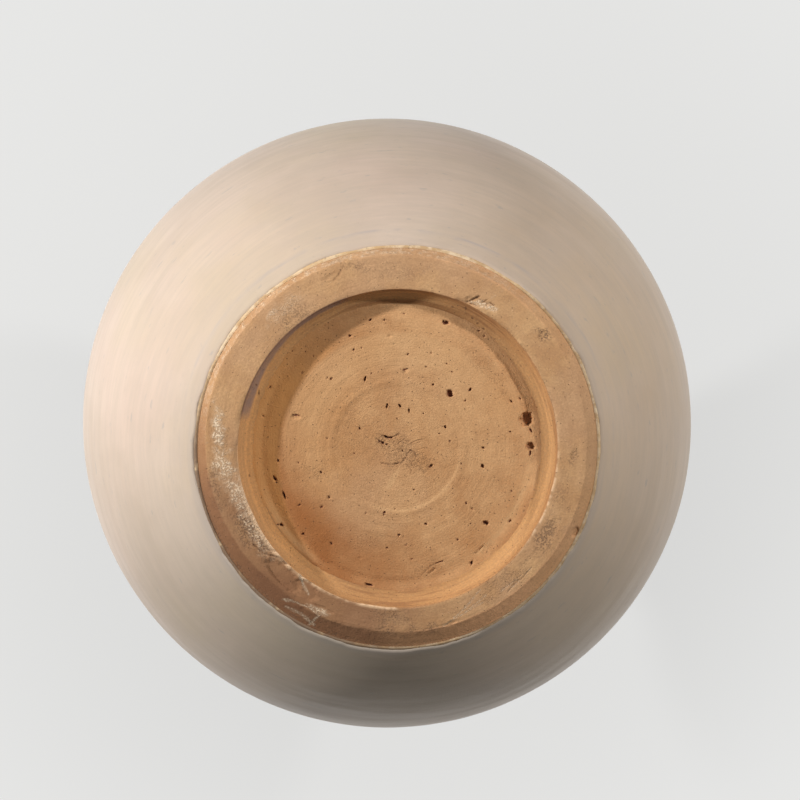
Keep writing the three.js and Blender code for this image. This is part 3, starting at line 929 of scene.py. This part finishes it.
# %% The pits, in millimetres: x, y, half length, half width, slant, depth
PITS = [
    (41.9, -8.9, 2.9, 2.3, 80, 2.4), (43.1, -5.4, 1.2, 0.5, 60, 0.6),
    (43.1, -0.2, 1.8, 1.6, 20, 1.7), (43, 1.9, 1.1, 0.35, 100, 0.6),
    (16.9, -17.5, 1.5, 1.1, 75, 1.6), (15.4, -40.3, 1.3, 0.75, 5, 1.3),
    (14.7, -40.6, 0.5, 0.5, 0, 1.2), (23.4, -18.6, 0.75, 0.38, 130, 1.1),
    (-10.5, -22.1, 0.95, 0.42, 105, 1.2), (-21.4, -22.1, 0.6, 0.32, 140, 0.6),
    (-32.7, -10.4, 1.5, 0.35, 5, 0.5), (-32.7, -9.9, 1.7, 0.9, 0, 0.4),
    (2.4, -25.2, 1.2, 0.3, 165, 0.4), (2.6, -24.7, 1.3, 0.7, 160, 0.35),
    (-3.4, -13.4, 0.95, 0.36, 105, 1.2), (0.8, -13.4, 0.75, 0.36, 50, 1.1),
    (3.7, -11.8, 0.85, 0.32, 85, 1.2), (15.4, -6.6, 0.7, 0.45, 60, 1.1),
    (27.7, 0.2, 0.6, 0.36, 20, 0.8), (27.6, 6.1, 0.75, 0.6, 70, 1.2),
    (10.9, 6, 1, 0.42, 150, 0.9), (-3.6, -3.4, 0.9, 0.4, 30, 1.1),
    (-2.2, -3.1, 1, 0.34, 175, 1), (-4.7, -1.3, 0.7, 0.45, 40, 0.7),
    (-5.8, -1.9, 0.5, 0.35, 0, 0.5), (-3.4, -1, 0.45, 0.3, 0, 0.5),
    (-39.4, 10.2, 1.4, 0.42, 60, 1.2), (-36.5, 15.4, 1.6, 0.45, 70, 1.3),
    (-37.5, 25.1, 1.1, 0.5, 25, 1.1), (-30.4, 28.1, 0.5, 0.4, 0, 0.9),
    (-31.4, 18.7, 0.36, 0.3, 0, 0.6), (-24.6, 8, 0.5, 0.3, 60, 0.5),
    (-22, 16.1, 0.6, 0.36, 80, 0.8), (-9, 44.7, 1.5, 0.45, 12, 1.1),
    (-12, 35.9, 0.6, 0.35, 10, 0.3), (0.6, 28.5, 0.5, 0.4, 0, 0.8),
    (13.9, 37.3, 1.5, 0.3, 165, 0.4), (11.4, 40.2, 1.7, 0.5, 140, 0.35),
    (24.3, 37.6, 0.85, 0.36, 100, 1), (28.8, 24.6, 1.1, 0.7, 10, 1.4),
    (36.6, 24, 0.55, 0.4, 0, 0.8), (44.4, 26.3, 0.5, 0.4, 0, 0.6), (24.2, 20, 0.7, 0.36, 30, 0.4),
    (22.3, 18.1, 0.5, 0.36, 60, 0.5), (-4.3, 21.9, 0.4, 0.32, 0, 0.6),
    (5.4, 13.8, 0.4, 0.3, 0, 0.5), (-8.9, -41.1, 0.5, 0.45, 0, 0.9),
    (-4.4, -41.1, 0.45, 0.4, 0, 0.8), (-2.5, -36, 0.9, 0.5, 0, 0.3), (2, -43.1, 0.4, 0.3, 0, 0.4),
    (-15.4, -36, 0.5, 0.4, 0, 0.8), (-14.1, -31.5, 0.4, 0.36, 0, 0.7),
    (10.7, -30.5, 0.5, 0.36, 90, 0.4), (9.1, -26, 0.4, 0.3, 0, 0.6),
    (17.5, -24.4, 0.36, 0.3, 0, 0.5), (11.4, -20.2, 0.45, 0.4, 45, 0.7),
    (36.7, -14.9, 0.6, 0.4, 40, 0.8), (39.5, -15.8, 0.5, 0.4, 0, 0.7),
    (36.4, -5, 0.5, 0.35, 0, 0.6), (27, 33, 1.3, 0.4, 140, 0.3), (2.9, 31.9, 0.7, 0.25, 0, 0.3),
    (-3.2, 32.7, 0.5, 0.35, 0, 0.5), (26.2, -37.6, 0.45, 0.35, 30, 0.6),
    (27.8, -36, 0.4, 0.3, 0, 0.5), (-41, -19.5, 0.45, 0.4, 0, 0.8), (-43.3, -10, 0.4, 0.35, 0, 0.6)]
sites = bpy.data.meshes.new("pit sites")
sites.from_pydata([(px * MM, py * MM, floor_level(hypot(px, py)) * MM)
                   for px, py, *_ in PITS], [], [])
for column, label, unit in ((2, "half_length", MM), (3, "half_width", MM),
                            (4, "slant", radians(1)), (5, "sink", MM)):
    made = sites.attributes.new(label, "FLOAT", "POINT")
    made.data.foreach_set("value", [pit[column] * unit for pit in PITS])
pit_sites = add_object("pit_sites", sites)
print("pits:", len(PITS))

# %% Scratches and drying cracks in the floor: corners, half width, depth, how dark
CRACKS = [
    ([(-4.8, 5.2), (-2.4, 5.5), (-0.2, 5.4)], 0.08, 0.2, 0.55),
    ([(-0.9, 5.4), (0, 5.2), (0.5, 5)], 0.12, 0.2, 0.6),
    ([(-0.2, 5.4), (1.3, 5), (2.6, 3.6), (3.3, 2), (4.2, 0.9)], 0.07, 0.18, 0.45),
    ([(-4.9, -3.9), (-3.8, -3.5), (-2.2, -3.3), (-1, -3.5), (0.4, -4.3)], 0.08, 0.25, 0.5),
    ([(-1.6, 1.2), (0.4, 0.4), (1.6, 0.8)], 0.06, 0.1, 0.2),
    ([(1.2, 2.4), (2, 4.6)], 0.06, 0.1, 0.22), ([(6.4, 1), (8.4, 0.2), (9.6, 0.8)], 0.06, 0.1, 0.2),
    ([(5.4, 5.6), (7, 4.6)], 0.06, 0.1, 0.22),
    ([(-8.6, 0.4), (-7, 1), (-6.2, 0.6)], 0.06, 0.1, 0.2),
    ([(-2.2, 7.6), (-0.4, 8.2)], 0.06, 0.1, 0.18),
    ([(0.2, -1.2), (2, -2.4), (3.8, -1.9)], 0.08, 0.14, 0.3),
    ([(4.3, -1.2), (6.4, -2.2), (8.2, -2.6)], 0.08, 0.14, 0.28),
    ([(5, -0.9), (7.6, -1.8)], 0.06, 0.1, 0.2),
    ([(4.2, 0.9), (5.6, 1.6), (6.2, 3.2)], 0.08, 0.14, 0.3),
    ([(2.6, 3.6), (4.4, 4.6), (4.9, 6)], 0.08, 0.14, 0.3),
    ([(-6.8, -2.9), (-5.4, -2), (-4.2, -1.6)], 0.1, 0.2, 0.4),
    ([(8.4, 8.2), (10.2, 6.8), (11.6, 6.4)], 0.08, 0.15, 0.35),
    ([(7.4, 7), (8.6, 7.6)], 0.08, 0.12, 0.25),
    ([(3.2, 5.6), (4.6, 7.4), (4.2, 8.8)], 0.08, 0.12, 0.25),
    ([(-0.6, 2), (0.2, 4.4)], 0.06, 0.1, 0.2), ([(-5.6, 4), (-5, 5.4)], 0.06, 0.1, 0.2),
    ([(-33.5, 7.4), (-30.5, 6.6)], 0.08, 0.12, 0.2), ([(8, 41.5), (10.5, 39)], 0.1, 0.2, 0.3),
    ([(10.8, 38.6), (13.8, 37.2), (15, 37.3)], 0.1, 0.2, 0.3),
    ([(25.5, 34.5), (28, 32)], 0.08, 0.2, 0.1)]
points = points_of(base_disc)
x, y, z = points.T
radius, angle = np.hypot(x, y), np.arctan2(y, x)
under = (z < 8.6) & (radius < COVE_FOOT - 0.05)
wander = 0.35 * (crumbly(points, 1.0, 15) - 0.5) + 0.2 * (crumbly(points, 3.5, 16) - 0.5)
cut, marks, _ = scored(points, CRACKS, wander, 0.12)
uneven = 0.34 * (crumbly(points, 14.0, 5) - 0.5) + 0.12 * (crumbly(points, 1.8, 6, 2) - 0.5) + cut
print("cracks:", len(CRACKS))

# %% [markdown]
# Painted highlights brighten a thin arc on the step round the middle and bands of the outer
# floor, and the tool tore the clay in other places. Painted orange bounce light lifts the
# shadowed outer floor at the left, and painted shade darkens the outer floor towards the left
# and lower left.

# %% How the floor's colour and roughness change
ROUGH = [(-4.8, -2, 3.8, 2.8, 30, 0.9), (1.5, 1, 7.5, 6, 60, 0.5), (5.5, 4, 6, 4.5, 40, 0.5),
         (-26.5, 8, 6, 3, 20, 0.2), (-12, -2, 16, 12, 30, 0.15), (26.5, -27.5, 12, 3.5, 48, 0.2),
         (44, 2.5, 4.5, 1.6, 95, 0.4), (41.5, -17, 7, 1.8, 70, 0.25),
         (34.5, -17.5, 2.2, 1.4, 0, 0.3), (26.5, 20, 5, 2.5, 20, 0.2), (9, 39, 6, 3, 150, 0.2),
         (28.5, 32.5, 4, 2, 140, 0.2), (-25, 30, 9, 5, 40, 0.15), (-6, 30, 14, 6, 10, 0.15),
         (20, 2, 9, 7, 0, 0.15), (0, 0, 46, 46, 0, 0.06)]
rough = patches(points, ROUGH, 0.6, 3.0, 200, 0.2)
degrees = np.degrees(angle)
# Painted highlights and painted light: a highlight along the step below and right of the middle, a
# bright streak near the middle, and lighter bands on the outer floor at the upper left, the lower
# right and the lower left.
shine = 0.4 * hill(radius, RIDGE_RADIUS - 0.5, 0.5) * (0.4 + 0.9 * crumbly(points, 5.0, 17))
shine *= between(degrees, -10, 35, 100, 128)
shine += 0.28 * patch(points, -1.2, 10.0, 5.5, 0.9, 120, 0.4, 2.0, 19)
for band, table in (
        (0.35 * between(radius, 22.0, 30.0, 36.0, 38.5),
         [(-180, 0.5), (-155, 1), (-60, 0.8), (-30, 0.4), (0, 0), (140, 0)]),
        (0.75 * hill(radius, 43.0, 1.1),
         [(-20, 0), (5, 0.5), (20, 1), (42, 0.9), (60, 0.4), (85, 0)]),
        (0.4 * hill(radius, 45.0, 1.2),
         [(-180, 0), (118, 0), (134, 1), (148, 1), (166, 0.2)])):
    shine += band * around(angle, table)
# Painted orange bounce light in the shadow at the left of the outer floor.
at_left = around(angle, [(-180, 1), (-150, 0.9), (-135, 0.4), (-115, 0), (125, 0),
                         (140, 0.6), (155, 1)])
bounce_from = around(angle, [(-180, 37.2), (-150, 36.4), (-115, 36.5), (125, 42.6),
                            (140, 41.4), (150, 40), (160, 38.9)])
fired = 0.6 * at_left * smooth(radius - bounce_from, 0.0, 2.2)
fired *= 0.8 + 0.3 * crumbly(points, 6.0, 231)
# Painted shade: the outer floor darker towards the left and lower left, and a band beside the
# groove at the right.
flush = smooth(radius, 24.0, 38.0) * (1 - 0.85 * at_left * smooth(radius, 41.6, 43.8))
flush *= around(angle, [
    (-180, 0.5), (-150, 0.42), (-120, 0.2), (-95, 0), (40, 0), (70, 0.1), (90, 0.25),
    (105, 0.55), (120, 0.74), (140, 0.74), (165, 0.62)])
flush = np.maximum(flush, 0.2 * smooth(radius, 41.8, 43.6) * between(degrees, -60, -40, -5, 15))
flush *= 0.75 + 0.5 * crumbly(points, 6.0, 230)
print("fired floor covers", round(float((fired * under > 0.1).mean()) * 100, 1), "% of the points")

# %% Sinking the pits
points[:, 2] += np.where(under, uneven, 0.0)
move_points(base_disc, points)
for label, values in (("mark", marks), ("shine", shine), ("rough", rough), ("flush", flush),
                      ("fired", fired)):
    store(base_disc, label, values * under)
run_tree(base_disc, pitted, {"Pits": pit_sites, "Pores per Square Metre": 7000.0,
                             "Pore Size": 0.0003, "Raggedness": 0.9, "Seed": 11,
                             "Finish": base_clay})
bpy.data.objects.remove(pit_sites)
hand_over(base_disc, "base_disc")

# %% [markdown]
# ## The thrown walls, the seam and the neck
# The halves were thrown one at a time and luted together with soft clay at the belly. Inside,
# the fingers left low rings, which fade in and out. The seam was wiped with a wet finger, and
# the neck was thrown on last and folded over into a lip.

# %% The outlines of the two halves
FINGER_RING, RINGS_IN_A_HALF, RING_ROWS, WALL_ROWS = 0.55, 4, 90, 24
glaze_turn, ring_top_turn = turn_at(SLIP_TOP), turn_at(FOOT_HEIGHT)
seam_low, seam_high = turn_at(BELLY_HEIGHT - SEAM_HALF), turn_at(BELLY_HEIGHT + SEAM_HALF)
inner_low = wall_point(turn_at(BELLY_HEIGHT - SEAM_HALF + SEAM_SCARF), -WALL_AT_BELLY)
inner_high = wall_point(turn_at(BELLY_HEIGHT + SEAM_HALF + SEAM_SCARF), -WALL_AT_BELLY)
ridge_low, ridge_high = turn_at(inner_low[1] - SEAM_REACH), turn_at(inner_high[1] + SEAM_REACH)


def finger_rings(start, end, wall_start, wall_end):
    made = []
    for s in steps(0.0, 1.0, RING_ROWS):
        wall = wall_start + (wall_end - wall_start) * s
        ridge = FINGER_RING * (0.5 - 0.5 * cos(tau * RINGS_IN_A_HALF * s))
        made.append(wall_point(start + (end - start) * s, -wall - ridge))
    return made


lower_outline = ([(DISC_RADIUS, FOOT_HEIGHT)]
                 + [wall_point(t) for t in steps(ring_top_turn, seam_low, WALL_ROWS)] + [inner_low]
                 + finger_rings(ridge_low, turn_at(FLOOR_HEIGHT), WALL_AT_BELLY, WALL_AT_FLOOR)
                 + [(DISC_RADIUS, FLOOR_HEIGHT), (DISC_RADIUS, FOOT_HEIGHT)])
upper_outside = [wall_point(t) for t in steps(seam_high, UPPER_TURN, WALL_ROWS)]
upper_outline = (upper_outside + [(COLLAR_RADIUS, COLLAR_SEAT)]
                 + finger_rings(UPPER_TURN, ridge_high, WALL_AT_COLLAR, WALL_AT_BELLY)[2:]
                 + [inner_high, upper_outside[0]])
print("outlines:", len(lower_outline), "and", len(upper_outline), "points")

# %% The outlines of the seam, the neck and the lip
SEAM_RIDGE = 1.8
seam_drop = 2 * SEAM_REACH + inner_high[1] - inner_low[1]
seam_ridge = [(inner_high[0] - SEAM_RIDGE * sin(pi * s) ** 0.8
               * (0.9 + 0.1 * cos(9 * s)), inner_high[1] + SEAM_REACH - seam_drop * s)
              for s in steps(0.04, 0.96, 26)]
seam_outline = ([wall_point(t) for t in (seam_low, 0.0, seam_high)]
                + [inner_high, wall_point(ridge_high, -WALL_AT_BELLY)] + seam_ridge
                + [wall_point(ridge_low, -WALL_AT_BELLY), inner_low, wall_point(seam_low)])
fillet_middle = (COLLAR_RADIUS, SHOULDER_HEIGHT + NECK_FILLET)
neck_top = (NECK_RADIUS + NECK_DRAFT, LIP_BASE)
neck_outline = ([(COLLAR_RADIUS, COLLAR_SEAT)]
                + arc(fillet_middle, NECK_FILLET, NECK_FILLET, 1.5 * pi, pi, 12)
                + [neck_top] + [(NECK_BORE, z) for z in steps(LIP_BASE, COLLAR_SEAT + 2.6, 16)]
                + arc((NECK_BORE + BORE_ROUND, COLLAR_SEAT + BORE_ROUND), BORE_ROUND, BORE_ROUND,
                      pi, 1.5 * pi, 8) + [(COLLAR_RADIUS, COLLAR_SEAT)])
lip_middle = (NECK_BORE + LIP_HALF_WIDTH, LIP_BASE + LIP_HALF_HEIGHT)
lip_outline = ([neck_top]
               + arc(lip_middle, LIP_HALF_WIDTH, LIP_HALF_HEIGHT, -LIP_CURL, pi, 40)
               + [(NECK_BORE, LIP_BASE), neck_top])
for name, outline, cad_node in (("lower_wall", lower_outline, "lower_body"),
                                ("luted_seam", seam_outline, "belly_seam"),
                                ("upper_wall", upper_outline, "upper_body"),
                                ("thrown_neck", neck_outline, "neck"),
                                ("rolled_lip", lip_outline, "lip")):
    hand_over(turn_piece(name, outline, 288, thrown_clay), cad_node)

# %% [markdown]
# ## The slip line
# Between foot and glaze the dry slip shows as a line of changing width, darker in patches towards
# the left and the bottom.
# Its upper edge and the glaze's lower one creep down the wall together.

# %% The slip line
CREEP = 0.42
SLOPE = LOWER_REACH * sin(LOWER_TURN) / (LOWER_RISE * cos(LOWER_TURN))
band = steps(-LOWER_TURN, glaze_turn, 8)
slip_outline = [wall_point(t, COAT_GAP + SLIP * min(1.0, 0.25 + 0.25 * k))
                for k, t in enumerate(band)]
slip_outline += [wall_point(t, COAT_GAP) for t in reversed(band)] + slip_outline[:1]
slip_line = turn_piece("slip_band", slip_outline, FINE_STEPS, pale_slip)


def pull_in(points, angle, inward):
    points[:, 0] -= np.cos(angle) * inward
    points[:, 1] -= np.sin(angle) * inward


def creep(points, share):
    angle = np.arctan2(points[:, 1], points[:, 0])
    ring = np.stack([np.cos(angle), np.sin(angle), 0 * angle], 1) * FOOT_RADIUS
    down = CREEP * smooth(crumbly(ring, 7.0, 145, 4), 0.25, 0.7) * share
    pull_in(points, angle, down * SLOPE)
    points[:, 2] -= down
    return angle


points = points_of(slip_line)
angle = creep(points, np.clip((points[:, 2] - BEVEL_HEIGHT) / (SLIP_TOP - BEVEL_HEIGHT), 0, 1))
move_points(slip_line, points)
# The slip darker towards the left and the bottom, in patches.
stain = around(angle, [(-180, 0.95), (-165, 0.4), (-140, 0), (-40, 0), (20, 0.1),
                       (50, 0.3), (80, 0.5), (110, 0.95)])
store(slip_line, "stain", stain * smooth(crumbly(points, 2.2, 141), 0.15, 0.5))
hand_over(slip_line, "slip_line")

# %% [markdown]
# ## The glaze
# The glaze is one coat with an outer and an inner face. Its outline has close rows at the foot,
# where its edge is seen near to, and wider ones up the wall. It follows wall, shoulder, neck and
# lip and ends a little way down the bore.

# %% The glaze's outline
EDGE_LENGTH, NEAR_FOOT = 0.8, 10.0


def coat(out, near_rows, wall_rows, shoulder_rows, neck_rows, lip_rows):
    near = turn_at(NEAR_FOOT)
    turns = (steps(glaze_turn, near, near_rows) + steps(near, 0.0, wall_rows)[1:]
             + steps(0.0, UPPER_TURN, shoulder_rows)[1:])
    return ([wall_point(t, out) for t in turns]
            + arc(fillet_middle, NECK_FILLET - out, NECK_FILLET - out, 1.5 * pi, pi,
                  neck_rows)
            + [(NECK_RADIUS + NECK_DRAFT + out, LIP_BASE - out)]
            + arc(lip_middle, LIP_HALF_WIDTH + out, LIP_HALF_HEIGHT + out, -LIP_CURL, pi,
                  lip_rows)
            + [(NECK_BORE - out, LIP_BASE - GLAZE_IN_BORE)])


outer_run = coat(COAT_GAP + GLAZE, 12, 46, 44, 8, 24)
inner_run = coat(COAT_GAP, 2, 10, 10, 3, 6)
edge_run = [wall_point(turn_at(SLIP_TOP + EDGE_LENGTH * (1 - cos(a))),
                       COAT_GAP + GLAZE * sin(a)) for a in steps(0.0, pi / 2, 7)]
above_edge = [point for point in outer_run if point[1] > edge_run[-1][1] + 0.2 or point[0] < 60]
glaze_outline = edge_run + above_edge + inner_run[::-1]
glaze = turn_piece("glaze_coat", glaze_outline, 540, cream_glaze)
print("glaze outline:", len(glaze_outline), "points")

# %% Soft throwing rings and the thin edge
points = points_of(glaze)
angle = creep(points, 1 - smooth(points[:, 2], SLIP_TOP + 0.3, SLIP_TOP + 2.2))
z = points[:, 2]
clay_radius = np.array([wall_point(turn_at(min(max(h, BEVEL_HEIGHT), 169.0)))[0] for h in z])
outer = (np.hypot(*points.T[:2]) > clay_radius + 0.3) & (z < 170.0)
up_the_wall = np.stack([z * 0.35, np.cos(angle) * 6, np.sin(angle) * 6], 1)
dent = 0.28 * crumbly(up_the_wall, 4.0, 151) + 0.18 * crumbly(points, 26.0, 161)
pull_in(points, angle, np.where(outer, dent * smooth(z, 5.0, 14.0), 0.0))
move_points(glaze, points)
print("glaze dents, mm, up to", round(float(dent.max()), 2))

# %% A grey line, painted shade, a matt edge and warm clouds on the glaze
grey_line = hill(z, 7.2 + 0.7 * (crumbly(points * [1, 1, 0], 9.0, 171) - 0.5), 0.28)
grey_line *= around(angle, [(-180, 0.2), (-140, 0.8), (-60, 0.9), (0, 0.3), (60, 0.1)])
# Painted shade along the glaze's edge by the foot, strongest towards the bottom.
glaze_edge_shade = (1 - smooth(z, 4.4, 5.6)) * around(
    angle, [(-180, 0.2), (-150, 0), (0, 0.1), (40, 0.4), (100, 0.5)])
warm = (0.5 + crumbly(points, 16.0, 191)) * around(angle, [
    (-85, 0), (-60, 0.3), (-40, 0.42), (0, 0.42), (35, 0.3), (70, 0.1), (110, 0)])
# Painted shade: the lower wall darker towards the bottom.
dull = (1 - smooth(z, 8.0, 75.0)) * around(angle, [
    (-180, 0), (-40, 0), (0, 0.2), (40, 0.6), (80, 1), (120, 1), (160, 0.5)])
for label, values in (
        ("thin", np.maximum(0.75 * grey_line * smooth(crumbly(points, 5.0, 181), 0.3, 0.6),
                            glaze_edge_shade)),
        ("matt edge", 1 - smooth(z, 5.2, 7.5)), ("warm", warm),
        ("dull", 0.42 * dull * (0.6 + 0.8 * crumbly(points, 22.0, 195)))):
    store(glaze, label, values)
hand_over(glaze, "outer_glaze")

# %% [markdown]
# ## Floor and backdrop
# The camera looks at the foot from below, so the floor has to be seen from above only: its back
# side is clear. Behind the jar, seen from below only, a backdrop does the same. Both are pale,
# take the jar's shadow, and fade into the pale world at their edges.

# %% Stage
PALE, DISC_CORNERS = (0.80, 0.80, 0.79, 1.0), 96


def stage_disc(name, radius, height, facing_up, fade_from, fade_to, least_glow):
    material = start_material(name + " paint")
    tree.nodes.remove(tree.nodes["Principled BSDF"])
    far = ramp(vector("LENGTH", place, out=1), fade_from, fade_to, least_glow, 1.0)
    matt = node("ShaderNodeBsdfDiffuse", {"Color": PALE})
    glow = node("ShaderNodeEmission", {"Color": PALE, "Strength": 1.0})
    shown = node("ShaderNodeMixShader", {0: far, 1: matt, 2: glow})
    back = node("ShaderNodeNewGeometry", out="Backfacing")
    clear = node("ShaderNodeBsdfTransparent")
    seen = node("ShaderNodeMixShader", {0: back, 1: shown, 2: clear})
    feed(tree.nodes["Material Output"], {"Surface": seen})
    sheet = bpy.data.meshes.new(name)
    corners = list(range(DISC_CORNERS))
    sheet.from_pydata([(radius * cos(a), radius * sin(a), height)
                       for a in steps(0, tau, DISC_CORNERS)[:-1]], [],
                      [corners if facing_up else corners[::-1]])
    sheet.materials.append(material)
    disc = add_object(name, sheet)
    for ray in ("diffuse", "glossy", "transmission", "shadow", "volume_scatter"):
        setattr(disc, "visible_" + ray, False)


stage_disc("floor", 7.0, -0.0004, True, 0.5, 2.2, 0.0)
stage_disc("backdrop", 0.29, 0.33, False, 0.33, 0.44, 0.7)

# %% [markdown]
# ## Light
# Two soft boxes light the foot from the camera's side, at a flat angle from the left and a
# steeper one from the right: the shadows in the hollow say where they stood. A third stands behind
# the jar on the left and a fourth above its mouth, so that the jar is lit from its other side too.
# A lamp's power follows from how bright it should make a white card that faces it.

# %% World and lamps
world = bpy.data.worlds.new("pale studio")
bpy.context.scene.world = world
world.use_nodes = True
tree = world.node_tree
rays = node("ShaderNodeLightPath", out="Is Camera Ray")
seen = calc("MAXIMUM", rays, rays.node.outputs["Is Glossy Ray"])
seen = calc("MAXIMUM", seen, rays.node.outputs["Is Transmission Ray"])
ambient = node("ShaderNodeBackground", {"Color": (1.0, 0.99, 0.97, 1.0), "Strength": 0.15})
shown = node("ShaderNodeBackground", {"Color": PALE, "Strength": 1.0})
both = node("ShaderNodeMixShader", {0: seen, 1: ambient, 2: shown})
feed(tree.nodes["World Output"], {"Surface": both})


def soft_box(name, towards, distance, width, tall, level):
    lamp = bpy.data.lights.new(name, "AREA")
    lamp.shape = "RECTANGLE"
    lamp.size, lamp.size_y = width, tall
    lamp.energy = level * pi ** 2 * distance ** 2
    box = add_object(name, lamp)
    aim = Vector(towards).normalized()
    box.location = aim * distance
    box.rotation_euler = aim.to_track_quat("Z", "Y").to_euler()
    box.visible_camera = False
    print(f"{name}: {lamp.energy:.1f} W at {distance} m")


soft_box("left_box", (-2.2, -0.82, -1.0), 0.65, 0.06, 0.024, 1.07)
soft_box("right_box", (1.05, -0.81, -1.0), 0.65, 0.06, 0.028, 0.56)
soft_box("rear_box", (-0.84, -0.32, 0.44), 1.3, 0.5, 0.8, 0.15)
soft_box("top_panel", (0.1, 0.15, 1.0), 1.6, 2.6, 2.6, 0.5)

# %% [markdown]
# ## Camera
# Circles drawn through the foot, the ring's inner edge and the jar's outline give the camera:
# it stands 0.94 m below the foot, a little to one side, and looks up almost along the axis.

# %% Camera
SENSOR, FOCAL_PIXELS, FRAME_PIXELS = 36.0, 2950, 800
lens = bpy.data.cameras.new("camera")
lens.sensor_width, lens.lens = SENSOR, SENSOR * FOCAL_PIXELS / FRAME_PIXELS
camera = add_object("camera", lens)
forward = Vector((0.04223, 0.08254, 1.0)).normalized()
right = (Vector((1, 0, 0)) - forward * forward.x).normalized()
up = -forward.cross(right)
turn = Matrix((right, up, -forward)).transposed().to_4x4()
camera.matrix_world = Matrix.Translation((-0.03916, -0.09343, -0.93910)) @ turn
bpy.context.scene.camera = camera
bpy.context.scene.view_settings.view_transform = "Standard"
print("camera at, m:", [round(v, 3) for v in camera.location])
